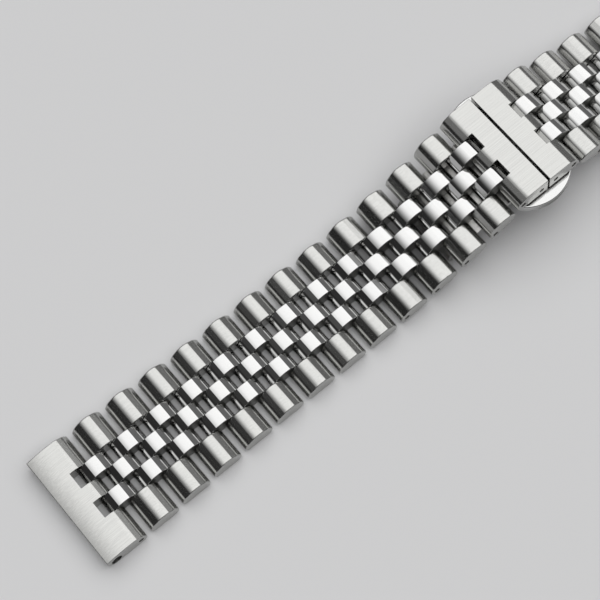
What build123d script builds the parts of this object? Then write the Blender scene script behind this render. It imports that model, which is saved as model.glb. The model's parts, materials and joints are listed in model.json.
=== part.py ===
from build123d import *
from math import acos, asin, atan2, cos, hypot, pi, radians, sin
import os

os.makedirs("parts", exist_ok=True)

# Steel bracelet for a wrist watch, laid face up on a table, in millimetres.
# X runs along the bracelet, Y across it and Z up. The table is at Z zero.
# Every outer link carries a centre bead and two pins. Between two outer links
# sits a pair of beads on those pins, so each pin is a hinge.

# Widths, pitch and counts
lug_width = 20.0
waist_width = 18.4
clasp_width = 18.0
link_pitch = 6.1
bead_pitch = 2.88
column_gap = 0.08
long_side_links = 12
short_side_links = 8
tapering_links = 4
removable_links = 4

# Section of one link, seen from the side
link_height = 3.0
link_gap = 0.53
crown_width = 1.96

# Pins and their fits
pin_radius = 0.45
press_clearance = 0.01
running_clearance = 0.05
pin_recess = 0.4
blind_wall = 0.9

# Straight end pieces that meet the watch
end_piece_length = 7.4
end_slot_clearance = 0.88
end_edge_height = 2.5
end_undercut_height = 1.2
end_undercut_depth = 1.0
spring_bar_radius = 0.9
spring_bar_setback = 1.6
spring_bar_height = 1.25

# Covers of the hidden clasp
cover_gap = 0.35
cover_length = 6.1
cover_slot_clearance = 0.13
inner_pin_setback = 1.25

# How the bracelet hangs from the raised clasp down to the table
steepest_slope = 27.5
hanging_bodies = 10

# Folding plates under the covers
wing_arch_radius = 34.0
plate_thickness = 0.8
plate_gap = 0.5
chain_seat_gap = 0.25
base_half_width = 6.0
wing_half_width = 6.4
wing_tip_setback = 3.9
knuckle_radius = 1.15
knuckle_gap = 0.15
centre_knuckle_half = 2.5
ear_width = 1.2
ear_radius = 0.95
ear_foot_setback = 4.0
ear_foot_length = 1.6
ear_clearance = 0.2

# Centre block and the two push buttons
block_half_length = 2.9
block_half_width = 4.9
block_top_gap = 0.3
tunnel_half_length = 2.0
tunnel_roof = 0.6
slide_clearance = 0.1
nose_gap = 0.15
nose_width = 1.0
nose_inset = 0.5
push_travel = 1.2
button_radius = 7.1
button_reach = 1.7
button_root = 0.7
button_thickness = 1.5
button_clearance = 0.5
button_edge = 0.2
spring_length = 2.4
spring_wall = 0.3
spring_radius = 0.34
spring_wire = 0.12
spring_turns = 5

# Length by which every cutter passes the face that it opens
overrun = 1.0

# Worked out from the sizes above
pin_spacing = link_pitch / 2
end_radius = (pin_spacing - link_gap) / 2
crown_rise = link_height - end_radius
crown_setback = (pin_spacing - crown_width) / 2
shoulder_angle = atan2(crown_rise, -crown_setback) - acos(
    end_radius / hypot(crown_rise, crown_setback)
)
end_slot_depth = 2 * end_radius + end_slot_clearance
cover_slot_depth = 2 * end_radius + cover_slot_clearance
bead_half_width = (bead_pitch - column_gap) / 2
slot_low = bead_pitch / 2 - column_gap / 2
slot_high = bead_pitch * 3 / 2 + column_gap / 2

# The bodies next to the covers hang like a chain, each a little less steep than the last
falls = [steepest_slope * (1 - body / hanging_bodies) for body in range(hanging_bodies)]
cover_pin_away = cover_gap / 2 + cover_length - end_radius
cover_pin_z = end_radius + pin_spacing * sum(sin(radians(fall)) for fall in falls)
inner_pin_away = cover_gap / 2 + inner_pin_setback
cover_pin_distance = cover_pin_away - inner_pin_away
cover_foot_z = cover_pin_z - end_radius


def pin_places(links):
    """Distance from the clasp's middle and height of every pin, and each body's slope."""
    slopes = falls + [0.0] * (2 * links + 1 - len(falls))
    places = [(cover_pin_away, cover_pin_z)]
    for slope in slopes:
        away, height = places[-1]
        run = pin_spacing * cos(radians(slope))
        drop = pin_spacing * sin(radians(slope))
        places.append((away + run, height - drop))
    return places, slopes


sides = {"long": (-1, long_side_links), "short": (1, short_side_links)}
lug_reach = end_piece_length - end_radius
reach = {name: pin_places(links)[0][-1][0] + lug_reach for name, (_, links) in sides.items()}
clasp_x = (reach["long"] - reach["short"]) / 2

# The folded plates share one centre, low enough for every hanging link to clear the wings
seat_radius = wing_arch_radius + chain_seat_gap + end_radius
arch_centre_z = min(
    height - (seat_radius**2 - away**2) ** 0.5
    for away, height in pin_places(hanging_bodies)[0]
    if away < seat_radius
)
wing_high = wing_arch_radius
wing_low = wing_high - plate_thickness
base_high = wing_low - plate_gap
base_low = base_high - plate_thickness
hinge_radius = (base_low + wing_high) / 2
hinge_angle = acos((knuckle_radius - arch_centre_z) / hinge_radius)
plate_end_angle = hinge_angle - (knuckle_radius + knuckle_gap) / hinge_radius


def link_width(number, links):
    """Width of an outer row: it narrows quickly near the lug end, then slowly."""
    from_lug = links + 1 - number - 1 / 2
    if from_lug < tapering_links:
        return lug_width - (lug_width - waist_width) * from_lug / tapering_links
    slow_share = (from_lug - tapering_links) / (links - tapering_links)
    return waist_width - (waist_width - clasp_width) * slow_share


def side_plane(side, away, height, y, slope):
    """Plane on edge: its x runs away from the clasp, falling by the slope, its y is up."""
    fall = radians(slope)
    return Plane(
        origin=(clasp_x + side * away, y, height),
        x_dir=(side * cos(fall), 0, -sin(fall)),
        z_dir=(0, -side, 0),
    )


def middle_and_half(low, high):
    return (low + high) / 2, (high - low) / 2


def on_arch(radius, angle):
    return radius * sin(angle), radius * cos(angle)


def round_end(x, way):
    """Round end about the pin at x and the shoulder up to the crown, way 1 being outwards."""
    middle = (shoulder_angle - pi / 2) / 2
    foot = (x, -end_radius)
    bulge = (x + way * end_radius * cos(middle), end_radius * sin(middle))
    shoulder = (
        x + way * end_radius * cos(shoulder_angle),
        end_radius * sin(shoulder_angle),
    )
    crown = (x - way * crown_setback, crown_rise)
    ThreePointArc(foot, bulge, shoulder)
    Line(shoulder, crown)
    return foot, crown


def link_face(plane):
    with BuildSketch(plane) as face:
        with BuildLine():
            inner_foot, inner_crown = round_end(-pin_spacing / 2, -1)
            outer_foot, outer_crown = round_end(pin_spacing / 2, 1)
            Line(inner_foot, outer_foot)
            Line(inner_crown, outer_crown)
        make_face()
    return face.sketch


def end_piece_face(plane):
    """Round end about the pin at zero, and a lug end that curves down and is cut back below."""
    curve_start = (end_slot_depth - end_radius, crown_rise)
    edge_top = (lug_reach, end_edge_height - end_radius)
    with BuildSketch(plane) as face:
        with BuildLine():
            foot, crown = round_end(0, -1)
            Line(crown, curve_start)
            TangentArc(curve_start, edge_top, tangent=(1, 0))
            Polyline(
                edge_top, (lug_reach, end_undercut_height - end_radius),
                (lug_reach - end_undercut_depth, -end_radius), foot,
            )
        make_face()
    return face.sketch


def cover_face(plane):
    """Round end about the pin at zero, and an upright inner end."""
    inner_end = end_radius - cover_length
    with BuildSketch(plane) as face:
        with BuildLine():
            foot, crown = round_end(0, 1)
            Polyline(foot, (inner_end, -end_radius), (inner_end, crown_rise), crown)
        make_face()
    return face.sketch


def disc_face(plane, x, y, radius):
    with BuildSketch(plane) as face:
        with Locations((x, y)):
            Circle(radius)
    return face.sketch


def window_face(plane, x_low, x_high, y_low, y_high):
    with BuildSketch(plane) as face:
        with Locations(((x_low + x_high) / 2, (y_low + y_high) / 2)):
            Rectangle(x_high - x_low, y_high - y_low)
    return face.sketch


def ring_face(plane, low, high, start, end):
    """Piece of a ring about the plane's origin, from one angle to another off its y axis."""
    middle = (start + end) / 2
    with BuildSketch(plane) as face:
        with BuildLine():
            ThreePointArc(on_arch(high, start), on_arch(high, middle), on_arch(high, end))
            Line(on_arch(high, end), on_arch(low, end))
            ThreePointArc(on_arch(low, end), on_arch(low, middle), on_arch(low, start))
            Line(on_arch(low, start), on_arch(high, start))
        make_face()
    return face.sketch


def finish(builder, name):
    builder.part.label = name
    export_step(builder.part, f"parts/{name}.step")


def outer_column_spans(width):
    return [(slot_high, width / 2), (-width / 2, -slot_high)]


def cut_bead_slots(side, away, height, slope, x_low, x_high):
    """Faces and half widths of the two slots that take a pair of beads."""
    slots = []
    for low, high in ((slot_low, slot_high), (-slot_high, -slot_low)):
        y, half = middle_and_half(low, high)
        plane = side_plane(side, away, height, y, slope)
        slots.append((window_face(plane, x_low, x_high, -overrun * 2, link_height), half))
    return slots


def make_link(name, side, places, slope, width, removable):
    """Two outer links and a centre bead, held on two pins."""
    away = (places[0][0] + places[1][0]) / 2
    height = (places[0][1] + places[1][1]) / 2
    spans = outer_column_spans(width) + [(-bead_half_width, bead_half_width)]
    closed = width / 2 - blind_wall
    with BuildPart() as link:
        for low, high in spans:
            y, half = middle_and_half(low, high)
            extrude(link_face(side_plane(side, away, height, y, slope)), amount=half, both=True)
        for end in (-1, 1):
            open_end = removable and end == 1
            low = -width / 2 - overrun if open_end else -closed
            y, half = middle_and_half(low, closed)
            bore = disc_face(
                side_plane(side, away, height, y, slope),
                end * pin_spacing / 2, 0, pin_radius + press_clearance,
            )
            extrude(bore, amount=half, both=True, mode=Mode.SUBTRACT)
        for end in (-1, 1):
            open_end = removable and end == 1
            low = -width / 2 + pin_recess if open_end else -closed + press_clearance
            y, half = middle_and_half(low, closed - press_clearance)
            pin = disc_face(
                side_plane(side, away, height, y, slope), end * pin_spacing / 2, 0, pin_radius
            )
            extrude(pin, amount=half, both=True)
    finish(link, name)


def make_bead_pair(name, side, places, slope):
    away = (places[0][0] + places[1][0]) / 2
    height = (places[0][1] + places[1][1]) / 2
    with BuildPart() as pair:
        for column in (-1, 1):
            plane = side_plane(side, away, height, column * bead_pitch, slope)
            extrude(link_face(plane), amount=bead_half_width, both=True)
        for end in (-1, 1):
            bore = disc_face(
                side_plane(side, away, height, 0, slope),
                end * pin_spacing / 2, 0, pin_radius + running_clearance,
            )
            extrude(bore, amount=slot_high + overrun, both=True, mode=Mode.SUBTRACT)
    finish(pair, name)


def make_end_piece(name, side, place):
    """Solid end with two slots for the last beads and a cross bore for a spring bar."""
    away, height = place
    half_width = lug_width / 2
    middle_plane = side_plane(side, away, height, 0, 0)
    with BuildPart() as end_piece:
        extrude(end_piece_face(middle_plane), amount=half_width, both=True)
        slots = cut_bead_slots(
            side, away, height, 0, -end_radius - overrun, end_slot_depth - end_radius
        )
        for face, half in slots:
            extrude(face, amount=half, both=True, mode=Mode.SUBTRACT)
        bar_bore = disc_face(
            middle_plane, lug_reach - spring_bar_setback,
            spring_bar_height - end_radius, spring_bar_radius,
        )
        extrude(bar_bore, amount=half_width + overrun, both=True, mode=Mode.SUBTRACT)
        pin_bore = disc_face(middle_plane, 0, 0, pin_radius + press_clearance)
        extrude(pin_bore, amount=half_width + overrun, both=True, mode=Mode.SUBTRACT)
    finish(end_piece, name + "_end_piece")
    with BuildPart() as end_pin:
        pin = disc_face(middle_plane, 0, 0, pin_radius)
        extrude(pin, amount=half_width - pin_recess, both=True)
    finish(end_pin, name + "_end_pin")


# Outline of the two ears that rise from a wing to the cover's inner pin
ear_pin = (inner_pin_away, cover_pin_z - arch_centre_z)
ear_foot_start = on_arch(wing_high, ear_foot_setback / wing_high)
ear_foot_end = on_arch(wing_high, (ear_foot_setback + ear_foot_length) / wing_high)
ear_lean = atan2(ear_foot_start[0] - ear_pin[0], ear_pin[1] - ear_foot_start[1])
ear_top = (ear_pin[0] + ear_radius * cos(ear_lean), ear_pin[1] + ear_radius * sin(ear_lean))
ear_heel = (ear_pin[0] - ear_radius * cos(ear_lean), ear_pin[1] - ear_radius * sin(ear_lean))
ear_tip = (ear_pin[0] - ear_radius * sin(ear_lean), ear_pin[1] + ear_radius * cos(ear_lean))

# Where the ear's upper edge passes the underside of the cover
ear_exit_share = (ear_top[1] + arch_centre_z - cover_foot_z) / (ear_top[1] - ear_foot_end[1])
ear_exit_away = ear_top[0] + (ear_foot_end[0] - ear_top[0]) * ear_exit_share


def make_cover(name, side):
    """Brushed cover with slots for the first beads, and slots below for the wing's ears."""
    half_width = clasp_width / 2
    middle_plane = side_plane(side, cover_pin_away, cover_pin_z, 0, 0)
    with BuildPart() as cover:
        extrude(cover_face(middle_plane), amount=half_width, both=True)
        slots = cut_bead_slots(
            side, cover_pin_away, cover_pin_z, 0, end_radius - cover_slot_depth,
            end_radius + overrun,
        )
        for face, half in slots:
            extrude(face, amount=half, both=True, mode=Mode.SUBTRACT)
        ear_slot_half = ear_width / 2 + column_gap
        for way in (-1, 1):
            ear_y = way * (wing_half_width - ear_width / 2)
            ear_slot = window_face(
                side_plane(side, cover_pin_away, cover_pin_z, ear_y, 0),
                end_radius - cover_length - overrun,
                ear_exit_away + ear_clearance - cover_pin_away,
                -end_radius - overrun,
                ear_radius + ear_clearance,
            )
            extrude(ear_slot, amount=ear_slot_half, both=True, mode=Mode.SUBTRACT)
        for x in (0, -cover_pin_distance):
            bore = disc_face(middle_plane, x, 0, pin_radius + press_clearance)
            extrude(bore, amount=half_width + overrun, both=True, mode=Mode.SUBTRACT)
    finish(cover, name + "_cover")
    with BuildPart() as cover_pins:
        for x in (0, -cover_pin_distance):
            pin = disc_face(middle_plane, x, 0, pin_radius)
            extrude(pin, amount=half_width - pin_recess, both=True)
    finish(cover_pins, name + "_cover_pins")


def make_wing(name, side):
    """Curved plate with two knuckles at the hinge and two ears that carry the cover."""
    arch = side_plane(side, 0, arch_centre_z, 0, 0)
    hinge = on_arch(hinge_radius, hinge_angle)
    knuckle_y, knuckle_half = middle_and_half(
        centre_knuckle_half + knuckle_gap, base_half_width
    )
    middle_radius = (wing_low + wing_high) / 2
    foot_roots = [
        on_arch(middle_radius, arc / wing_high)
        for arc in (ear_foot_setback, ear_foot_setback + ear_foot_length)
    ]
    with BuildPart() as wing:
        tip_angle = wing_tip_setback / wing_high
        plate = ring_face(arch, wing_low, wing_high, tip_angle, plate_end_angle)
        extrude(plate, amount=wing_half_width, both=True)
        for way in (-1, 1):
            ear_y = way * (wing_half_width - ear_width / 2)
            with BuildSketch(side_plane(side, 0, arch_centre_z, ear_y, 0)):
                with BuildLine():
                    ThreePointArc(ear_top, ear_tip, ear_heel)
                    Polyline(ear_heel, ear_foot_start, *foot_roots, ear_foot_end, ear_top)
                make_face()
            extrude(amount=ear_width / 2, both=True)
            knuckle_plane = side_plane(side, 0, arch_centre_z, way * knuckle_y, 0)
            extrude(disc_face(knuckle_plane, *hinge, knuckle_radius), amount=knuckle_half, both=True)
            strip = ring_face(
                knuckle_plane, wing_low, wing_high, plate_end_angle - knuckle_gap / wing_high,
                hinge_angle,
            )
            extrude(strip, amount=knuckle_half, both=True)
        bore = disc_face(arch, *ear_pin, pin_radius + running_clearance)
        extrude(bore, amount=wing_half_width + overrun, both=True, mode=Mode.SUBTRACT)
        hinge_bore = disc_face(arch, *hinge, pin_radius + running_clearance)
        extrude(hinge_bore, amount=base_half_width + overrun, both=True, mode=Mode.SUBTRACT)
    finish(wing, name + "_wing")
    with BuildPart() as wing_pin:
        pin = disc_face(arch, *hinge, pin_radius)
        extrude(pin, amount=base_half_width, both=True)
    finish(wing_pin, name + "_wing_pin")


def make_base():
    """Arched plate that lies against the wrist, with a knuckle at each end."""
    arch = side_plane(1, 0, arch_centre_z, 0, 0)
    with BuildPart() as base:
        plate = ring_face(arch, base_low, base_high, -plate_end_angle, plate_end_angle)
        extrude(plate, amount=base_half_width, both=True)
        for way in (-1, 1):
            hinge = on_arch(hinge_radius, way * hinge_angle)
            extrude(disc_face(arch, *hinge, knuckle_radius), amount=centre_knuckle_half, both=True)
            strip = ring_face(
                arch, base_low, base_high,
                way * (plate_end_angle - knuckle_gap / base_high), way * hinge_angle,
            )
            extrude(strip, amount=centre_knuckle_half, both=True)
        for way in (-1, 1):
            hinge = on_arch(hinge_radius, way * hinge_angle)
            bore = disc_face(arch, *hinge, pin_radius + press_clearance)
            extrude(bore, amount=base_half_width, both=True, mode=Mode.SUBTRACT)
    finish(base, "clasp_base")


# Levels of the centre block, which stands on the middle of the base
base_top_z = arch_centre_z + base_high
block_top_z = cover_foot_z - block_top_gap
tunnel_top_z = block_top_z - tunnel_roof
tongue_low_z = base_top_z + slide_clearance
tongue_high_z = tunnel_top_z - slide_clearance
button_half_chord = (button_radius**2 - (button_radius - button_reach - button_root) ** 2) ** 0.5
button_top_z = cover_foot_z - button_clearance
tongue_end_y = spring_wall + spring_length
nose_low_y = tongue_end_y + nose_inset
nose_high_y = nose_low_y + nose_width


def make_block():
    """Housing on the base that guides both push buttons."""
    arch = side_plane(1, 0, arch_centre_z, 0, 0)
    with BuildPart() as block:
        corner = asin(block_half_length / base_high)
        with BuildSketch(arch):
            with BuildLine():
                left_foot = on_arch(base_high, -corner)
                right_foot = on_arch(base_high, corner)
                top = block_top_z - arch_centre_z
                ThreePointArc(left_foot, on_arch(base_high, 0), right_foot)
                Polyline(
                    right_foot, (block_half_length, top), (-block_half_length, top), left_foot
                )
            make_face()
        extrude(amount=block_half_width, both=True)
        for way in (-1, 1):
            y, half = middle_and_half(spring_wall, block_half_width + overrun)
            tunnel_plane = side_plane(1, 0, arch_centre_z, way * y, 0)
            tunnel = window_face(
                tunnel_plane, -tunnel_half_length, tunnel_half_length,
                base_low, tunnel_top_z - arch_centre_z,
            )
            extrude(tunnel, amount=half, both=True, mode=Mode.SUBTRACT)
            y, half = middle_and_half(
                nose_low_y - push_travel - slide_clearance, nose_high_y + slide_clearance
            )
            nose_plane = side_plane(1, 0, arch_centre_z, way * y, 0)
            windows = window_face(
                nose_plane, -block_half_length - overrun, block_half_length + overrun,
                base_low, tunnel_top_z - arch_centre_z,
            )
            extrude(windows, amount=half, both=True, mode=Mode.SUBTRACT)
    finish(block, "clasp_block")


def make_pusher(name, way):
    """Push button: a round-edged head and a flat tongue with two catch noses."""
    centre_y = way * (clasp_width / 2 + button_reach - button_radius)
    chord_y = way * (clasp_width / 2 - button_root)
    crest_y = way * (clasp_width / 2 + button_reach)
    with BuildPart() as pusher:
        with BuildSketch(Plane.XY.offset(button_top_z - button_thickness)):
            with BuildLine():
                left = (clasp_x - button_half_chord, chord_y)
                right = (clasp_x + button_half_chord, chord_y)
                ThreePointArc(left, (clasp_x, crest_y), right)
                Line(left, right)
            make_face()
        extrude(amount=button_thickness)
        rims = [
            edge
            for edge in pusher.edges().filter_by(GeomType.CIRCLE)
            if abs(edge.radius - button_radius) < button_edge
        ]
        chamfer(rims, button_edge)
        tongue_half = tunnel_half_length - slide_clearance
        nose_half = wing_tip_setback - nose_gap
        with BuildSketch(Plane.XY.offset(tongue_low_z)):
            with Locations((clasp_x, (way * tongue_end_y + chord_y) / 2)):
                Rectangle(2 * tongue_half, abs(chord_y - way * tongue_end_y))
            with Locations((clasp_x, way * (nose_low_y + nose_high_y) / 2)):
                Rectangle(2 * nose_half, nose_width)
        extrude(amount=tongue_high_z - tongue_low_z)
    finish(pusher, name)


def make_spring(name, way):
    """Small coil spring between the block's middle wall and the tongue's end."""
    coil_length = spring_length - spring_wire
    start = (clasp_x, way * (spring_wall + spring_wire / 2), (tongue_low_z + tongue_high_z) / 2)
    with BuildPart() as spring:
        with BuildLine() as coil:
            Helix(
                pitch=coil_length / spring_turns, height=coil_length, radius=spring_radius,
                center=start, direction=(0, way, 0),
            )
        with BuildSketch(Plane(origin=coil.line @ 0, z_dir=coil.line % 0)):
            Circle(spring_wire / 2)
        sweep(path=coil.line, is_frenet=True)
    finish(spring, name)


for side_name, (side, links) in sides.items():
    places, slopes = pin_places(links)
    for body, slope in enumerate(slopes):
        ends = places[body:body + 2]
        number = body // 2 + 1
        if body % 2 == 0:
            make_bead_pair(f"{side_name}_beads_{number:02d}", side, ends, slope)
        else:
            make_link(
                f"{side_name}_link_{number:02d}", side, ends, slope,
                link_width(number, links), number <= removable_links,
            )
    make_end_piece(side_name, side, places[-1])
    make_cover(side_name, side)
    make_wing(side_name, side)

make_base()
make_block()
for pusher_name, way in (("near", -1), ("far", 1)):
    make_pusher(f"{pusher_name}_pusher", way)
    make_spring(f"{pusher_name}_pusher_spring", way)

print(f"overall length {reach['long'] + reach['short']:.2f}, clasp middle at x {clasp_x:.2f}")
print(f"first pin at height {cover_pin_z:.2f}, top of the clasp {cover_pin_z + crown_rise:.2f}")
print(f"hinges {hinge_radius * sin(hinge_angle):.2f} from the middle")
print(f"tongue {tongue_low_z:.2f} to {tongue_high_z:.2f}, block top {block_top_z:.2f}")
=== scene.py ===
# %% [markdown]
# # A five link watch bracelet, dressed for its picture
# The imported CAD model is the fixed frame. It already holds every piece at its real
# place and size, so this lesson only adds what a camera notices: low domes, fine
# rounded edges, brushed and mirror polished steel, soft light and the camera itself.
# Everything is in metres, with X along the bracelet, Y across it and Z up from the
# table.

# %% Load the frame
import json
import bpy
import bmesh
import numpy as np
from mathutils import Matrix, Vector
from mathutils.geometry import tessellate_polygon


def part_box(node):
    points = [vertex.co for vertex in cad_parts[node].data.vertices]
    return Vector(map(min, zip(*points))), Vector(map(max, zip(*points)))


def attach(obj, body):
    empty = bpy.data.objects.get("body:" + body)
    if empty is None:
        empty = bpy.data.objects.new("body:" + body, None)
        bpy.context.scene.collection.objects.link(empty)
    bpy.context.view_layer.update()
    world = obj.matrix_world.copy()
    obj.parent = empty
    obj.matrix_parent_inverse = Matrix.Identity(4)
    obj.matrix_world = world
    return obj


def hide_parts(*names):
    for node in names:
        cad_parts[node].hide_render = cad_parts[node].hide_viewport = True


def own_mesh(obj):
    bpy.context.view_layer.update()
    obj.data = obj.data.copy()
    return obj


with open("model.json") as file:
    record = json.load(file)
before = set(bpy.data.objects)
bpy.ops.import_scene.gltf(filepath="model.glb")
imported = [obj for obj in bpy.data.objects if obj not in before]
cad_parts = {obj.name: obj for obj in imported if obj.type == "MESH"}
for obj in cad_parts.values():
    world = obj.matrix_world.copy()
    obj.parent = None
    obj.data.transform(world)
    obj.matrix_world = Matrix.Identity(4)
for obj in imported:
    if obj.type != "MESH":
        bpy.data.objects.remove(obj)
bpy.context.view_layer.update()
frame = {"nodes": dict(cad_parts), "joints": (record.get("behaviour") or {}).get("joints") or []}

# %% [markdown]
# The real bracelet repeats one section: a crown, two sloped shoulders and a round end
# about each pin. The same few sizes that shaped the CAD model shape the dressed pieces,
# so they are written down once. The places of the pins are not repeated here, because
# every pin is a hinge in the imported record.

# %% Sizes of one link and its neighbours
mm = 0.001
link_pitch, link_gap, link_height, crown_width = 6.1 * mm, 0.53 * mm, 3.0 * mm, 1.96 * mm
bead_pitch, column_gap = 2.88 * mm, 0.08 * mm
pin_radius, pin_recess = 0.45 * mm, 0.4 * mm
pin_spacing = link_pitch / 2
end_radius = (pin_spacing - link_gap) / 2
crown_rise = link_height - end_radius
bead_half = (bead_pitch - column_gap) / 2
slot_low, slot_high = bead_pitch / 2 - column_gap / 2, bead_pitch * 1.5 + column_gap / 2
pins = {j["name"]: np.array(j["pos_m"]) for j in frame["joints"] if "pos_m" in j}
sides = {"long": (-1, 12), "short": (1, 8)}
lengthways, across, upright = np.eye(3)
print("end radius", round(end_radius / mm, 3), "mm; hinges read", len(pins))

# %% [markdown]
# A sharp edge is never quite sharp on a real watch part. Every outline here is a polygon
# whose corners are replaced by arcs, all worked out at once as arrays. The round end of
# a link is such a corner too: its arc is large and its turn is wide.

# %% Outlines with rounded corners
corner_steps = 14


def rounded(corners, radii, inset=0.0):
    """Each corner's two edges move in by the inset, and an arc joins them. The arc's
    centre stands one radius off the edge before the corner, and its points are that
    edge's normal turned in equal steps through the corner's angle."""
    corner = np.array(corners, float)
    ahead = np.roll(corner, -1, 0) - corner
    ahead /= np.linalg.norm(ahead, axis=1)[:, None]
    behind = np.roll(ahead, 1, 0)
    crossed = behind[:, 0] * ahead[:, 1] - behind[:, 1] * ahead[:, 0]
    turn = np.arctan2(crossed, (behind * ahead).sum(1))
    normal = np.stack([-behind[:, 1], behind[:, 0]], 1)
    normal_ahead = np.stack([-ahead[:, 1], ahead[:, 0]], 1)
    bisector = (normal + normal_ahead) / (1 + (normal * normal_ahead).sum(1))[:, None]
    corner = corner + inset * bisector
    radius = np.maximum(np.array(radii, float) - inset * np.sign(turn), 0) * np.sign(turn)
    centre = corner - behind * (radius * np.tan(turn / 2))[:, None] + normal * radius[:, None]
    angle = turn[:, None] * np.linspace(0, 1, corner_steps)
    turned_x = normal[:, :1] * np.cos(angle) - normal[:, 1:] * np.sin(angle)
    turned_y = normal[:, :1] * np.sin(angle) + normal[:, 1:] * np.cos(angle)
    arcs = centre[:, None] - np.stack([turned_x, turned_y], 2) * radius[:, None, None]
    return arcs.reshape(-1, 2)


square = rounded([(0, 0), (1, 0), (1, 1), (0, 1)], [0.1] * 4)
print("a square with round corners has", len(square), "points")

# %% [markdown]
# A piece is one or more outlines carried across the bracelet, from one side face to the
# other. Two kinds of surface are enough for all of them: a loft, which joins rings of
# points into bands of four sided faces, and a panel, which fills a flat outline and
# leaves out its holes.

# %% Lofts and panels
circle_steps = 28
same_place = 1e-8


def loft(rings):
    """Rings of points, one after the other, joined point to point and closed around."""
    rings = np.array(rings, float)
    count, size = rings.shape[:2]
    ring, point = np.meshgrid(np.arange(count - 1), np.arange(size), indexing="ij")
    here, beside = ring * size + point, ring * size + (point + 1) % size
    faces = np.stack([here, beside, beside + size, here + size], 2)
    return rings.reshape(-1, 3), faces.reshape(-1, 4)


def panel(loops):
    """A flat outline divided into triangles. The loops after the first are holes."""
    steps = [np.linalg.norm(loop - np.roll(loop, 1, 0), axis=1) for loop in loops]
    clean = [loop[step > same_place] for loop, step in zip(loops, steps)]
    triangles = tessellate_polygon([loop.tolist() for loop in clean])
    return np.concatenate(clean), np.array(triangles)


def at_depth(outline, depth):
    """Points (along, up) of an outline, set at one place across the bracelet."""
    return np.column_stack([outline, np.full(len(outline), depth)])


def circle(along, up, radius, depth):
    """Points at equal angles on a circle about (along, up)."""
    angle = np.linspace(0, 2 * np.pi, circle_steps, endpoint=False)
    outline = np.column_stack([along + radius * np.cos(angle), up + radius * np.sin(angle)])
    return at_depth(outline, depth)


print("a square panel has", len(panel([at_depth(square, 0.0)])[1]), "triangles")

# %% [markdown]
# The outer faces of a piece get a small rounded edge: there the outline shrinks as it
# nears the face, along a quarter circle. Where a slot or a pocket starts, the outline
# changes and a flat wall closes the step. A hole is cut out of the face and gets a wall
# and a floor of its own.

# %% Pieces made of spans
edge_steps = 5
edge_turn = np.linspace(np.pi / 2, 0, edge_steps)


def carried(spans, edge, walls=(), holes=()):
    """Surfaces of outlines carried across. A span is (low, high, corners, radii). At an
    outer face the outline moves in by edge times one minus the cosine of an angle, and
    across by edge times one minus its sine. A wall is (place across, corners, radii). A
    hole is (along, up, radius, way of its face, depth)."""
    surfaces = [
        panel([at_depth(rounded(corners, radii), depth)]) for depth, corners, radii in walls
    ]
    for number, (low, high, corners, radii) in enumerate(spans):
        rings = []
        last = number == len(spans) - 1
        for face, way, outer in ((low, 1, number == 0), (high, -1, last)):
            if outer:
                side = [
                    at_depth(
                        rounded(corners, radii, edge * (1 - np.cos(turn))),
                        face + way * edge * (1 - np.sin(turn)),
                    )
                    for turn in edge_turn
                ]
                drilled = [hole for hole in holes if hole[3] == -way]
                mouths = [circle(*hole[:3], face) for hole in drilled]
                surfaces.append(panel([side[0]] + mouths))
                for mouth, (along, up, radius, _, depth) in zip(mouths, drilled):
                    floor = circle(along, up, radius, face + way * depth)
                    surfaces += [loft([mouth, floor]), panel([floor])]
            else:
                side = [at_depth(rounded(corners, radii), face)]
            rings += side if way == 1 else side[::-1]
        surfaces.append(loft(rings))
    return surfaces


print("rings in a rounded edge", edge_steps)

# %% [markdown]
# The surfaces of one piece become one mesh. Points that meet are merged, the faces are
# turned outwards, and everything flatter than forty degrees is shaded smooth. Weighted
# normals keep the large flat faces flat right up to their rounded edges, which matters
# on mirror polished steel. The object stays at the origin, with its place in its mesh.

# %% From surfaces to an object
merge_distance, sharp_angle = 1e-7, np.radians(40)


def dress(name, surfaces, origin, axes, material, body, slot, replaced):
    """A point is the origin plus its three distances times the three axes."""
    points = np.concatenate([p for p, _ in surfaces])
    starts = np.cumsum([0] + [len(p) for p, _ in surfaces])
    faces = [face for (_, few), start in zip(surfaces, starts) for face in (few + start).tolist()]
    mesh = bpy.data.meshes.new(name)
    mesh.from_pydata(origin + points @ np.array(axes), [], faces)
    work = bmesh.new()
    work.from_mesh(mesh)
    bmesh.ops.remove_doubles(work, verts=work.verts, dist=merge_distance)
    bmesh.ops.recalc_face_normals(work, faces=work.faces)
    work.to_mesh(mesh)
    work.free()
    mesh.shade_smooth()
    mesh.set_sharp_from_angle(angle=sharp_angle)
    mesh.materials.append(material)
    piece = bpy.data.objects.new(name, mesh)
    bpy.context.scene.collection.objects.link(piece)
    weighted = piece.modifiers.new("flat faces stay flat", "WEIGHTED_NORMAL")
    weighted.keep_sharp = True
    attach(piece, body)
    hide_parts(replaced)
    return piece


print("points closer than", merge_distance / mm, "mm are merged")

# %% [markdown]
# Brushed steel is steel with thousands of fine scratches that all run one way. Seen
# close they are thin streaks of lighter and darker grey, and together they smear every
# reflection. The group below draws the streaks from a noise that is stretched along the
# bracelet, and each finish that has a grain uses it with its own numbers.

# %% A shared group for grain
def new_group(name, inputs, outputs):
    """A shader group with named inputs, given as name, kind and value, and outputs."""
    tree = bpy.data.node_groups.new(name, "ShaderNodeTree")
    for label, kind, value in inputs:
        socket = tree.interface.new_socket(label, in_out="INPUT", socket_type=kind)
        socket.default_value = value
    for label, kind in outputs:
        tree.interface.new_socket(label, in_out="OUTPUT", socket_type=kind)
    return tree, tree.nodes.new("NodeGroupInput"), tree.nodes.new("NodeGroupOutput")


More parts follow.
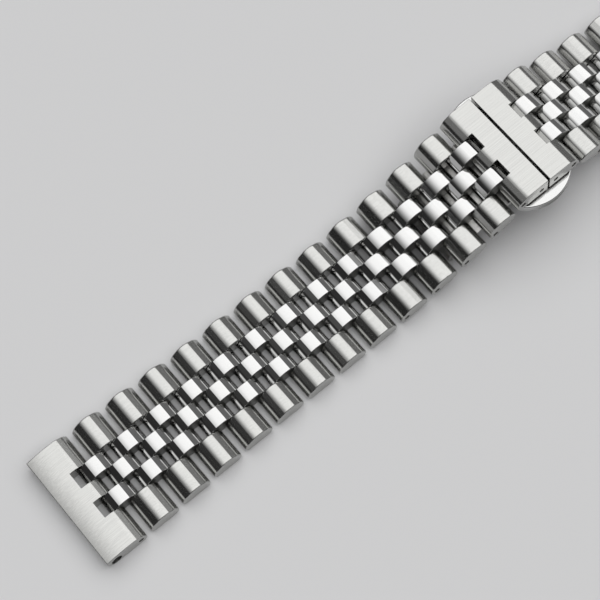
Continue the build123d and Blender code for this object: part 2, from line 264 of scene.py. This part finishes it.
value_kind, colour_kind = "NodeSocketFloat", "NodeSocketColor"
grain, given, result = new_group(
    "steel_grain",
    [
        ("Lines along", value_kind, 120.0),
        ("Lines across", value_kind, 7000.0),
        ("Dark", colour_kind, (0.5, 0.5, 0.5, 1)),
        ("Light", colour_kind, (0.7, 0.7, 0.7, 1)),
        ("Smooth", value_kind, 0.2),
        ("Rough", value_kind, 0.3),
    ],
    [("Colour", colour_kind), ("Roughness", value_kind), ("Height", value_kind)],
)
place = grain.nodes.new("ShaderNodeTexCoord")
stretch = grain.nodes.new("ShaderNodeCombineXYZ")
scaled = grain.nodes.new("ShaderNodeVectorMath")
scaled.operation = "MULTIPLY"
streaks = grain.nodes.new("ShaderNodeTexNoise")
streaks.inputs["Scale"].default_value = 1.0
streaks.inputs["Detail"].default_value = 4.0
streaks.inputs["Roughness"].default_value = 0.62
spread = grain.nodes.new("ShaderNodeMapRange")
spread.inputs["From Min"].default_value = 0.32
spread.inputs["From Max"].default_value = 0.68
tone = grain.nodes.new("ShaderNodeMix")
tone.data_type = "RGBA"
gloss = grain.nodes.new("ShaderNodeMapRange")
for start, end in (
    (given.outputs["Lines along"], stretch.inputs["X"]),
    (given.outputs["Lines across"], stretch.inputs["Y"]),
    (given.outputs["Lines across"], stretch.inputs["Z"]),
    (place.outputs["Object"], scaled.inputs[0]),
    (stretch.outputs[0], scaled.inputs[1]),
    (scaled.outputs[0], streaks.inputs["Vector"]),
    (streaks.outputs[0], spread.inputs["Value"]),
    (spread.outputs[0], tone.inputs[0]),
    (given.outputs["Dark"], tone.inputs[6]),
    (given.outputs["Light"], tone.inputs[7]),
    (spread.outputs[0], gloss.inputs["Value"]),
    (given.outputs["Smooth"], gloss.inputs["To Max"]),
    (given.outputs["Rough"], gloss.inputs["To Min"]),
    (tone.outputs[2], result.inputs["Colour"]),
    (gloss.outputs[0], result.inputs["Roughness"]),
    (spread.outputs[0], result.inputs["Height"]),
):
    grain.links.new(start, end)
print("group", grain.name, "with", len(grain.nodes), "nodes")

# %% [markdown]
# Handling leaves its own mark: skin oil and cloth leave broad, very faint patches on
# polished steel. The second group puts out a roughness that rises a little in such
# patches, from a soft noise a few millimetres wide.

# %% A shared group for faint smudges
smudge, given, result = new_group(
    "faint_smudges",
    [("Size", value_kind, 260.0), ("Clean", value_kind, 0.05), ("Smudged", value_kind, 0.1)],
    [("Roughness", value_kind)],
)
place = smudge.nodes.new("ShaderNodeTexCoord")
patches = smudge.nodes.new("ShaderNodeTexNoise")
patches.inputs["Detail"].default_value = 3.0
shade = smudge.nodes.new("ShaderNodeMapRange")
shade.inputs["From Min"].default_value = 0.4
shade.inputs["From Max"].default_value = 0.7
for start, end in (
    (place.outputs["Object"], patches.inputs["Vector"]),
    (given.outputs["Size"], patches.inputs["Scale"]),
    (patches.outputs[0], shade.inputs["Value"]),
    (given.outputs["Clean"], shade.inputs["To Min"]),
    (given.outputs["Smudged"], shade.inputs["To Max"]),
    (shade.outputs[0], result.inputs["Roughness"]),
):
    smudge.links.new(start, end)
print("group", smudge.name, "with", len(smudge.nodes), "nodes")

# %% [markdown]
# Four finishes share the two groups. The outer links and covers are brushed lengthwise.
# The beads and push buttons are mirror polished. The folding plates are satin, and pins
# and springs are plain drawn steel.

# %% The steel finishes
bump_depth = 0.01 * mm
side_from, side_to = 0.85, 0.98


def new_steel(name):
    """A material whose shader is plain metal, with its nodes and links."""
    material = bpy.data.materials.new(name)
    material.use_nodes = True
    nodes, links = material.node_tree.nodes, material.node_tree.links
    shader = nodes["Principled BSDF"]
    shader.inputs["Metallic"].default_value = 1.0
    return material, nodes, links, shader


def steel(name, lines, dark, light, smooth, rough, bump, spread_across):
    """Steel with a grain: streaks set its colour and roughness, and press into it. Fine
    lines along X scatter light across them, so the tangent of the gloss is Y."""
    material, nodes, links, shader = new_steel(name)
    shader.inputs["Anisotropic"].default_value = spread_across
    crosswise_way = nodes.new("ShaderNodeCombineXYZ")
    crosswise_way.inputs["Y"].default_value = 1.0
    links.new(crosswise_way.outputs[0], shader.inputs["Tangent"])
    streaks = nodes.new("ShaderNodeGroup")
    streaks.node_tree = grain
    values = {
        "Lines along": lines[0], "Lines across": lines[1],
        "Dark": (*dark, 1), "Light": (*light, 1), "Smooth": smooth, "Rough": rough,
    }
    for label, value in values.items():
        streaks.inputs[label].default_value = value
    pressed = nodes.new("ShaderNodeBump")
    pressed.inputs["Strength"].default_value = bump
    pressed.inputs["Distance"].default_value = bump_depth
    links.new(streaks.outputs["Colour"], shader.inputs["Base Color"])
    links.new(streaks.outputs["Roughness"], shader.inputs["Roughness"])
    links.new(streaks.outputs["Height"], pressed.inputs["Height"])
    links.new(pressed.outputs[0], shader.inputs["Normal"])
    return material


def mirror_steel(name, colour, clean, smudged, painted_gap_shade_colour, side_roughness):
    """Polished steel with a roughness that rises a little in patches. Side faces, whose normal
    points along Y, get a higher roughness and a darker colour; the darker colour is painted shade
    for the narrow gaps between the columns."""
    material, nodes, links, shader = new_steel(name)
    patches = nodes.new("ShaderNodeGroup")
    patches.node_tree = smudge
    patches.inputs["Clean"].default_value = clean
    patches.inputs["Smudged"].default_value = smudged
    facing = nodes.new("ShaderNodeSeparateXYZ")
    links.new(nodes.new("ShaderNodeTexCoord").outputs["Normal"], facing.inputs[0])
    turned = nodes.new("ShaderNodeMath")
    turned.operation = "ABSOLUTE"
    links.new(facing.outputs["Y"], turned.inputs[0])
    on_side = nodes.new("ShaderNodeMapRange")
    on_side.inputs["From Min"].default_value = side_from
    on_side.inputs["From Max"].default_value = side_to
    links.new(turned.outputs[0], on_side.inputs["Value"])
    # The side faces take the darker colour here: painted shade for the gaps between the columns.
    colours = nodes.new("ShaderNodeMix")
    colours.data_type = "RGBA"
    colours.inputs[6].default_value = (*colour, 1)
    colours.inputs[7].default_value = (*painted_gap_shade_colour, 1)
    dulled = nodes.new("ShaderNodeMix")
    dulled.inputs[3].default_value = side_roughness
    links.new(on_side.outputs[0], colours.inputs[0])
    links.new(on_side.outputs[0], dulled.inputs[0])
    links.new(patches.outputs["Roughness"], dulled.inputs[2])
    links.new(colours.outputs[2], shader.inputs["Base Color"])
    links.new(dulled.outputs[0], shader.inputs["Roughness"])
    return material


brushed = steel(
    "brushed_steel", (60, 9000), (0.43, 0.43, 0.42), (0.49, 0.49, 0.475),
    smooth=0.2, rough=0.28, bump=0.04, spread_across=0.8,
)
satin = steel(
    "satin_plate", (400, 5200), (0.42, 0.415, 0.4), (0.54, 0.535, 0.52),
    smooth=0.3, rough=0.42, bump=0.15, spread_across=0.6,
)
drawn = steel(
    "drawn_pin", (900, 900), (0.34, 0.335, 0.33), (0.48, 0.475, 0.46),
    smooth=0.25, rough=0.38, bump=0.1, spread_across=0.0,
)
# The darker side colour of the polished steel is painted shade for the narrow gaps between the
# bead columns.
polished = mirror_steel(
    "polished_steel", (0.555, 0.555, 0.55), clean=0.07, smudged=0.11,
    painted_gap_shade_colour=(0.25, 0.25, 0.24), side_roughness=0.4,
)
print("finishes", [m.name for m in (brushed, satin, drawn, polished)])

# %% [markdown]
# One link body has a low domed crown that ends at a crease on each side. From the crease
# a shoulder falls straight, a short arc turns it into a steep foot, and a last arc turns
# that under to the flat underside. The shoulders face the dark part of the room, and the
# light that two facing feet throw to and fro gives the thin pale lines beside the gaps.
# The dome of a brushed outer link is rounder than the dome of a polished bead, so the
# light fades across it more slowly. A crown of bent faces would show its facets in a
# mirror finish, so the dome is one long arc.

# %% The section of links and beads
crease_slope, foot_slope = np.radians(30), np.radians(62)
shoulder_radius, heel_radius = 1.5 * mm, 0.9 * mm
shoulder_length = 1.25 * mm
dome_arc_share = 0.93


def dome_edge(dome_radius):
    """Slope and height of a dome at its crease. The arc has dropped there by its radius
    times one minus the cosine of the slope."""
    slope = np.arcsin(crown_width / 2 / dome_radius)
    return slope, crown_rise - dome_radius * (1 - np.cos(slope))


def half_section(crease_height):
    """Corners from the underside up to the crease. The cheek is where the lines that
    touch the shoulder's arc at its two ends meet. The heel is where the lower of them
    meets the flat underside."""
    cheek = (
        crown_width / 2 + shoulder_length * np.cos(crease_slope),
        crease_height - shoulder_length * np.sin(crease_slope),
    )
    heel = (cheek[0] + (cheek[1] + end_radius) / np.tan(foot_slope), -end_radius)
    return [heel, cheek, (crown_width / 2, crease_height)]


def link_section(dome_radius, crease_radius):
    """Corners anticlockwise from the inner heel, and their radii. The dome's own corner
    stands above the middle, where the lines that touch it at both creases meet. Its arc
    is a little tighter than the dome, which leaves room for the crease's arcs."""
    slope, crease_height = dome_edge(dome_radius)
    half = half_section(crease_height)
    peak = (0, crease_height + crown_width / 2 * np.tan(slope))
    mirrored = [(-along, up) for along, up in half]
    radii = [heel_radius, shoulder_radius, crease_radius]
    return (
        [mirrored[0], *half, peak, *mirrored[:0:-1]],
        [heel_radius, *radii, dome_arc_share * dome_radius, *radii[:0:-1]],
    )


def body_place(inner, outer):
    """Middle of two pins, and the axes of the piece between them: from the inner to the
    outer pin, the upward one at right angles to it, and across."""
    along = (outer - inner) / np.linalg.norm(outer - inner)
    up = np.array([-along[2], 0, along[0]]) * np.sign(along[0])
    return (inner + outer) / 2, (along, up, across)


print("heel corner", round(half_section(crown_rise)[0][0] / mm, 2), "mm from the middle")

# %% [markdown]
# Pins are plain drawn rods with a small chamfer at each end. They are set a little below
# the side faces, and the recess shows as a dark ring around each end.

# %% Pins
rod_radius, rod_chamfer, hole_depth = 0.97 * pin_radius, 0.08 * mm, 0.6 * mm


def rod(along, low, high):
    """A pin across the bracelet: circles that grow from each end over the chamfer."""
    depths = (low, low + rod_chamfer, high - rod_chamfer, high)
    sizes = (rod_radius - rod_chamfer, rod_radius, rod_radius, rod_radius - rod_chamfer)
    rings = [circle(along, 0, size, depth) for size, depth in zip(sizes, depths)]
    return [loft(rings), panel([rings[0]]), panel([rings[-1]])]


print("pin radius", round(rod_radius / mm, 3), "mm")

# %% [markdown]
# Each pair of beads fills the two inner columns between two rows. A row has an outer
# link at each edge and one bead in the middle, and its pins end under the side faces.
# In the four rows beside the clasp a pin can be pushed out, so its hole is open.

# %% Beads and links along both sides
outer_dome, outer_crease, outer_edge = 2.3 * mm, 0.3 * mm, 0.28 * mm
bead_dome, bead_crease, bead_edge = 3.9 * mm, 0.12 * mm, 0.08 * mm
outer_section = link_section(outer_dome, outer_crease)
bead_section = link_section(bead_dome, bead_crease)
removable_rows, hidden_recess = 4, 2 * pin_recess
for side_name, (_, rows) in sides.items():
    chain_pins = [pins[f"{side_name}_pin_{n:02d}"] for n in range(1, 2 * rows + 3)]
    for row in range(1, rows + 2):
        node = f"{side_name}_beads_{row:02d}"
        where = body_place(*chain_pins[2 * row - 2:2 * row])
        pair = []
        for middle in (-bead_pitch, bead_pitch):
            pair += carried([(middle - bead_half, middle + bead_half, *bead_section)], bead_edge)
        dress(f"{node}_polished", pair, *where, polished, node, "polished_steel", node)
    for row in range(1, rows + 1):
        node = f"{side_name}_link_{row:02d}"
        where = body_place(*chain_pins[2 * row - 1:2 * row + 1])
        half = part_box(node)[1].y
        open_hole = row <= removable_rows
        holes = [(pin_spacing / 2, 0, pin_radius, -1, hole_depth)] if open_hole else []
        outers = carried([(-half, -slot_high, *outer_section)], outer_edge, holes=holes)
        outers += carried([(slot_high, half, *outer_section)], outer_edge)
        dress(f"{node}_brushed", outers, *where, brushed, node, "brushed_steel", node)
        middle = carried([(-bead_half, bead_half, *bead_section)], bead_edge)
        dress(f"{node}_bead", middle, *where, polished, node, "polished_steel", node)
        recess = pin_recess if open_hole else hidden_recess
        rods = rod(pin_spacing / 2, recess - half, half - hidden_recess)
        rods += rod(-pin_spacing / 2, hidden_recess - half, half - hidden_recess)
        dress(f"{node}_pins", rods, *where, drawn, node, "pin_steel", node)

# %% [markdown]
# The straight end piece meets the watch. Its top curves gently down to the lug edge, two
# slots take the last pair of beads, and a bore for a spring bar runs in from each side.
# The curve is one more rounded corner, with a very large radius, between the flat top
# and the slope that it reaches at the lug edge.

# %% The outlines of the straight end pieces
end_length, slot_clearance, lug_half = 7.4 * mm, 0.88 * mm, 10.0 * mm
edge_height, undercut_height, undercut_depth = 2.5 * mm, 1.2 * mm, 1.0 * mm
lug_corner, end_dome, top_arc_share = 0.15 * mm, 1.6 * mm, 0.94
lug, end_wall = end_length - end_radius, end_radius + slot_clearance
drop, run = link_height - edge_height, lug - end_wall
top_radius = top_arc_share * (run**2 + drop**2) / (2 * drop)
top_corner = lug - drop / np.tan(2 * np.arctan(drop / run))
nose = [
    (lug - undercut_depth, -end_radius), (lug, undercut_height - end_radius),
    (lug, edge_height - end_radius), (top_corner, crown_rise), (end_wall, crown_rise),
]
nose_radii = [lug_corner, lug_corner, lug_corner, top_radius, 0]
wall_foot = (end_wall, -end_radius)
dome_slope, crease_height = dome_edge(outer_dome)
dome_start = (crown_width / 2 - (crown_rise - crease_height) / np.tan(dome_slope), crown_rise)
round_end = [
    (pin_spacing / 2 - along, up) for along, up in (*half_section(crease_height), dome_start)
]
round_radii = [end_dome, outer_crease, shoulder_radius, heel_radius]
end_finger = (
    [round_end[0], wall_foot, nose[-1], *round_end[:0:-1]],
    [heel_radius, 0, 0, *round_radii[:3]],
)
end_whole = (
    [round_end[0], wall_foot, *nose, *round_end[:0:-1]],
    [heel_radius, 0, *nose_radii, *round_radii[:3]],
)
end_bridge = ([wall_foot, *nose], [0, *nose_radii])
print("end piece top radius", round(top_radius / mm, 1), "mm")

# %% [markdown]
# End pieces and covers change their outline across the bracelet, where a slot starts and
# ends, and they are the same on both sides of their middle. So only the right half is
# listed, and the left half is its mirror image. The middle span crosses the middle.

# %% The straight end pieces
bar_radius, bar_setback, bar_height, bar_depth = 0.9 * mm, 1.6 * mm, 1.25 * mm, 3.0 * mm
end_edge = 0.15 * mm


def crosswise(pattern):
    """Spans and walls of a piece. The pattern lists (outer reach, outline, wall at that
    reach) from the middle outwards."""
    reaches = [reach for reach, _, _ in pattern]
    right = [(low, high, *outline) for low, (high, outline, _) in zip(reaches, pattern[1:])]
    left = [(-high, -low, *outline) for low, high, *outline in right[::-1]]
    middle = (-reaches[0], reaches[0], *pattern[0][1])
    walls = [(way * reach, *wall) for reach, _, wall in pattern if wall for way in (-1, 1)]
    return [*left, middle, *right], walls


end_spans, end_walls = crosswise([
    (slot_low, end_whole, end_finger), (slot_high, end_bridge, end_finger),
    (lug_half, end_whole, None),
])
end_holes = [
    (*hole, face, depth)
    for hole, depth in (
        ((lug - bar_setback, bar_height - end_radius, bar_radius), bar_depth),
        ((0, 0, pin_radius), hole_depth),
    )
    for face in (-1, 1)
]
for side_name, (way, rows) in sides.items():
    node = f"{side_name}_end_piece"
    where = (pins[f"{side_name}_pin_{2 * rows + 2:02d}"], (way * lengthways, upright, across))
    shell = carried(end_spans, end_edge, end_walls, end_holes)
    dress(f"{node}_brushed", shell, *where, brushed, node, "brushed_steel", node)
    pin = rod(0, pin_recess - lug_half, lug_half - pin_recess)
    dress(f"{node}_pin", pin, *where, drawn, node, "pin_steel", f"{side_name}_end_pin")
print("end piece spans", len(end_spans), "and walls", len(end_walls))

# %% [markdown]
# Two covers hide the clasp. Each is a flat brushed plate of the same height as a link,
# with one round end toward its chain and an upright end at the middle gap. Two slots at
# the round end take the first beads, and two pockets below take the ears of the wing.

# %% The clasp covers
cover_length, cover_clearance, cover_half = 6.1 * mm, 0.13 * mm, 9.0 * mm
inner_pin_setback, corner_radius, cover_edge = 1.25 * mm, 0.12 * mm, 0.12 * mm
ear_low, ear_high, ear_top, ear_end = 5.12 * mm, 6.48 * mm, 1.15 * mm, -0.98 * mm
tail = end_radius - cover_length
cover_wall = -end_radius - cover_clearance
inner_pin = inner_pin_setback + tail
tail_foot, tail_top = (tail, -end_radius), (tail, crown_rise)
pocket_foot, slot_foot = (ear_end, -end_radius), (cover_wall, -end_radius)
slot_top = (cover_wall, crown_rise)
cover_end, cover_end_radii = [(-along, up) for along, up in round_end], round_radii[::-1]
cover_whole = (
    [tail_foot, slot_foot, pocket_foot, *cover_end, slot_top, tail_top],
    [corner_radius, 0, 0, *cover_end_radii, 0, corner_radius],
)
cover_pocketed = (
    [(tail, ear_top), (ear_end, ear_top), pocket_foot, *cover_end, slot_top, tail_top],
    [0, 0, 0, *cover_end_radii, 0, corner_radius],
)
cover_bridge = (
    [tail_foot, slot_foot, slot_top, tail_top], [corner_radius, 0, 0, corner_radius],
)
cover_finger = ([slot_foot, pocket_foot, *cover_end, slot_top], [0, 0, *cover_end_radii, 0])
pocket_side = (
    [tail_foot, slot_foot, pocket_foot, (ear_end, ear_top), (tail, ear_top)],
    [corner_radius, 0, 0, 0, 0],
)
cover_spans, cover_walls = crosswise([
    (slot_low, cover_whole, cover_finger), (slot_high, cover_bridge, cover_finger),
    (ear_low, cover_whole, pocket_side), (ear_high, cover_pocketed, pocket_side),
    (cover_half, cover_whole, None),
])
cover_holes = [
    (along, 0, pin_radius, face, hole_depth) for face in (-1, 1) for along in (0, inner_pin)
]
for side_name, (way, _) in sides.items():
    node = f"{side_name}_cover"
    where = (pins[f"{side_name}_pin_01"], (way * lengthways, upright, across))
    shell = carried(cover_spans, cover_edge, cover_walls, cover_holes)
    dress(f"{node}_brushed", shell, *where, brushed, node, "brushed_steel", node)
    rods = []
    for along in (0, inner_pin):
        rods += rod(along, pin_recess - cover_half, cover_half - pin_recess)
    dress(f"{node}_pin_rods", rods, *where, drawn, node, "pin_steel", f"{node}_pins")
print("covers", cover_length / mm, "mm long, slot wall at", round(cover_wall / mm, 2), "mm")

# %% [markdown]
# A push button is a polished crescent that shows below the covers. It is a flat disc
# segment with a soft rim, seen from above, so its outline lies in the table's plane and
# is carried upwards. Its tongue runs into the clasp and ends in two catch noses.

# %% The push buttons
button_radius, button_reach, button_root = 7.1 * mm, 1.7 * mm, 0.7 * mm
button_thickness, button_soft, arc_steps = 1.5 * mm, 0.28 * mm, 72
tongue_half, tongue_end, tongue_height = 1.9 * mm, 2.7 * mm, 1.68 * mm
nose_half, nose_low, nose_high = 3.75 * mm, 3.2 * mm, 4.2 * mm
clasp_x = (pins["long_pin_01"][0] + pins["short_pin_01"][0]) / 2
clasp_origin = clasp_x * lengthways
chord = cover_half - button_root
button_centre = cover_half + button_reach - button_radius


def crescent(way, height, inset):
    """Arc about the button's centre from one end of its chord to the other, with its
    radius less by the inset."""
    radius = button_radius - inset
    half = np.arccos((chord - button_centre) / radius)
    angle = np.linspace(-half, half, arc_steps)
    outline = np.column_stack([radius * np.sin(angle), button_centre + radius * np.cos(angle)])
    return at_depth(outline * (1, way), height)


half_tongue = np.array([
    (tongue_half, tongue_end), (tongue_half, nose_low), (nose_half, nose_low),
    (nose_half, nose_high), (tongue_half, nose_high), (tongue_half, chord),
])
tongue_plan = np.concatenate([half_tongue, half_tongue[::-1] * (-1, 1)])
rim = button_soft * (1 - np.column_stack([np.sin(edge_turn), np.cos(edge_turn)]))
for name, way in (("near_pusher", -1), ("far_pusher", 1)):
    low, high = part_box(name)
    below = [crescent(way, high.z - button_thickness + rise, inset) for rise, inset in rim]
    above = [crescent(way, high.z - rise, inset) for rise, inset in rim[::-1]]
    head = [loft(below + above), panel([below[0]]), panel([above[-1]])]
    rings = [at_depth(tongue_plan * (1, way), z) for z in (low.z, low.z + tongue_height)]
    tongue = [loft(rings), panel([rings[0]]), panel([rings[1]])]
    dress(
        f"{name}_polished", head + tongue, clasp_origin, (lengthways, across, upright),
        polished, name, "polished_steel", name,
    )
print("buttons at", round(clasp_x / mm, 2), "mm from the middle")

# %% [markdown]
# A small coil spring stands between the block's middle wall and the end of each tongue,
# and pushes the button out again. It is one wire along a helix. It could be swept along
# a curve, but a tube on a grid is as short.

# %% The springs behind the push buttons
spring_start, spring_end, push_travel = 0.3 * mm, tongue_end, 1.2 * mm
coil_radius, wire_radius, turns, wire_steps, turn_steps = 0.34 * mm, 0.06 * mm, 5, 10, 30


def coil(way, middle_height):
    """Circles about a helix. Its place is the coil's radius times the cosine and sine of
    an angle that grows with the way across, and each circle is spanned by the direction
    away from the coil's axis and the one at right angles to it and to the wire."""
    share = np.linspace(0, 1, turns * turn_steps + 1)
    angle = 2 * np.pi * turns * share
    length = spring_end - spring_start - 2 * wire_radius
    depth = way * (spring_start + wire_radius + length * share)
    cosine, sine, level = np.cos(angle), np.sin(angle), 0 * angle
    outward = np.column_stack([cosine, sine, level])
    path = coil_radius * outward + np.column_stack([level, level + middle_height, depth])
    climb = level + way * length / (2 * np.pi * turns)
    wire = np.column_stack([-coil_radius * sine, coil_radius * cosine, climb])
    beside = np.cross(wire / np.linalg.norm(wire, axis=1)[:, None], outward)
    around = np.linspace(0, 2 * np.pi, wire_steps, endpoint=False)[None, :, None]
    spokes = np.cos(around) * outward[:, None] + np.sin(around) * beside[:, None]
    rings = path[:, None] + wire_radius * spokes
    return [loft(rings), panel([rings[0]]), panel([rings[-1]])]


for name, way in (("near", -1), ("far", 1)):
    middle_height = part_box(f"{name}_pusher")[0].z + tongue_height / 2
    spring = dress(
        f"{name}_spring_coil", coil(way, middle_height), clasp_origin,
        (lengthways, upright, across), drawn, "clasp_base", "spring_steel",
        f"{name}_pusher_spring",
    )
    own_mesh(spring)
print("springs of", turns, "turns")

# %% [markdown]
# The folding plates, the block and the hinge pins are hidden below the covers and keep
# their CAD shapes. Pressed steel has no knife edges, so a bevel rounds them, after the
# triangles that the file format split them into are joined again.

# %% Finishes of the CAD pieces below the covers
weld_distance, flat_angle = 0.001 * mm, np.radians(1)
bevel_width, bevel_segments, bevel_angle = 0.1 * mm, 3, np.radians(30)
bevelled = ["clasp_base", "clasp_block", "long_wing", "short_wing"]
plain = ["long_wing_pin", "short_wing_pin"]
for name in bevelled + plain:
    piece = frame["nodes"][name]
    piece.data.materials.clear()
    piece.data.materials.append(satin if name in bevelled else drawn)
    weld = piece.modifiers.new("join the split corners", "WELD")
    weld.merge_threshold = weld_distance
    if name in bevelled:
        flat = piece.modifiers.new("one face for each flat", "DECIMATE")
        flat.decimate_type, flat.angle_limit = "DISSOLVE", flat_angle
        bevel = piece.modifiers.new("soft edges", "BEVEL")
        bevel.width, bevel.segments, bevel.harden_normals = bevel_width, bevel_segments, True
        bevel.limit_method, bevel.angle_limit = "ANGLE", bevel_angle
print("CAD pieces shown", len(bevelled + plain))

# %% [markdown]
# The bracelet lies on a pale table: one large flat square, matt and plain. It could be a
# thick slab or a curved sheet, but only its top shows and it has no pattern, so one face
# is enough.

# %% The table
table_half = 3.0
paint = bpy.data.materials.new("pale_table")
paint.use_nodes = True
shader = paint.node_tree.nodes["Principled BSDF"]
shader.inputs["Base Color"].default_value = (0.63, 0.63, 0.635, 1)
shader.inputs["Roughness"].default_value = 0.8
mesh = bpy.data.meshes.new("table")
corners = np.array([(-1, -1, 0), (1, -1, 0), (1, 1, 0), (-1, 1, 0)]) * table_half
mesh.from_pydata(corners, [], [(0, 1, 2, 3)])
mesh.materials.append(paint)
table = bpy.data.objects.new("table", mesh)
bpy.context.scene.collection.objects.link(table)
print("table", 2 * table_half, "m wide")

# %% [markdown]
# The light is one huge white screen overhead, drawn straight into the world around the
# bracelet. A lamp of that size would light it as well, but its edge couldn't fade. Here
# the brightness depends on two angles from straight up, one towards the ends of the
# bracelet and one towards its edges. Towards the lug end the screen fades out slowly,
# and that fade is what shades every domed crown from dark to white. Its other three
# edges are narrow. The rest of the room is grey at the clasp's end and nearly black at
# the lug end.

# %% The light around the bracelet
lug_fade, clasp_fade, near_fade, far_fade, room_turn = np.radians(
    [(-57, -1), (58, 62), (-50, -40), (50, 60), (-30, 60)]
)
screen_strength, room_dark, room_grey = 1.55, 0.035, 0.2
world = bpy.data.worlds.new("room")
bpy.context.scene.world = world
world.use_nodes = True
nodes, links = world.node_tree.nodes, world.node_tree.links
back = nodes["Background"]
back.inputs["Color"].default_value = (1, 1, 1, 1)
split = nodes.new("ShaderNodeSeparateXYZ")
links.new(nodes.new("ShaderNodeTexCoord").outputs["Generated"], split.inputs[0])


def calculate(operation, first, second):
    """One sum or product of two values, each a socket or a number."""
    node = nodes.new("ShaderNodeMath")
    node.operation = operation
    for socket, value in zip(node.inputs, (first, second)):
        if isinstance(value, float):
            socket.default_value = value
        else:
            links.new(value, socket)
    return node.outputs[0]


def ramp(value, start, end, low=0.0, high=1.0):
    """From low to high, smoothly, as the value goes from start to end."""
    node = nodes.new("ShaderNodeMapRange")
    node.interpolation_type = "SMOOTHSTEP"
    links.new(value, node.inputs["Value"])
    limits = {"From Min": start, "From Max": end, "To Min": low, "To Max": high}
    for label, limit in limits.items():
        node.inputs[label].default_value = limit
    return node.outputs[0]


lengthwise = calculate("ARCTAN2", split.outputs["X"], split.outputs["Z"])
sideways = calculate("ARCTAN2", split.outputs["Y"], split.outputs["Z"])
screen = ramp(lengthwise, *lug_fade)
for edge in (
    ramp(lengthwise, *clasp_fade, 1.0, 0.0), ramp(sideways, *far_fade, 1.0, 0.0),
    ramp(sideways, *near_fade), screen_strength,
):
    screen = calculate("MULTIPLY", screen, edge)
room = ramp(lengthwise, *room_turn, room_dark, room_grey)
links.new(calculate("ADD", screen, room), back.inputs["Strength"])
print("world nodes", len(nodes))

# %% [markdown]
# The camera stands where the photograph was taken from: above the near lug end, looking
# along the bracelet to the clasp. Its place was worked out from the corners of the
# beads, and the long lens keeps the far rows nearly as large as the near ones.

# %% The camera
camera_place = np.array([-78.2, -92.0, 286.2]) * mm
right, down = np.array([0.772, -0.632, -0.072]), np.array([-0.613, -0.709, -0.35])
right /= np.linalg.norm(right)
down -= right * (down @ right)
down /= np.linalg.norm(down)
lens = bpy.data.cameras.new("camera")
lens.sensor_width, lens.lens, lens.clip_start, lens.clip_end = 36.0, 120.32, 0.01, 20.0
camera = bpy.data.objects.new("camera", lens)
axes = np.eye(4)
axes[:3] = np.column_stack([right, -down, np.cross(right, -down), camera_place])
camera.matrix_world = Matrix(axes.tolist())
bpy.context.scene.collection.objects.link(camera)
bpy.context.scene.camera = camera
bpy.context.scene.view_settings.view_transform = "Standard"
print("camera at", (camera_place / mm).round(1).tolist(), "mm")
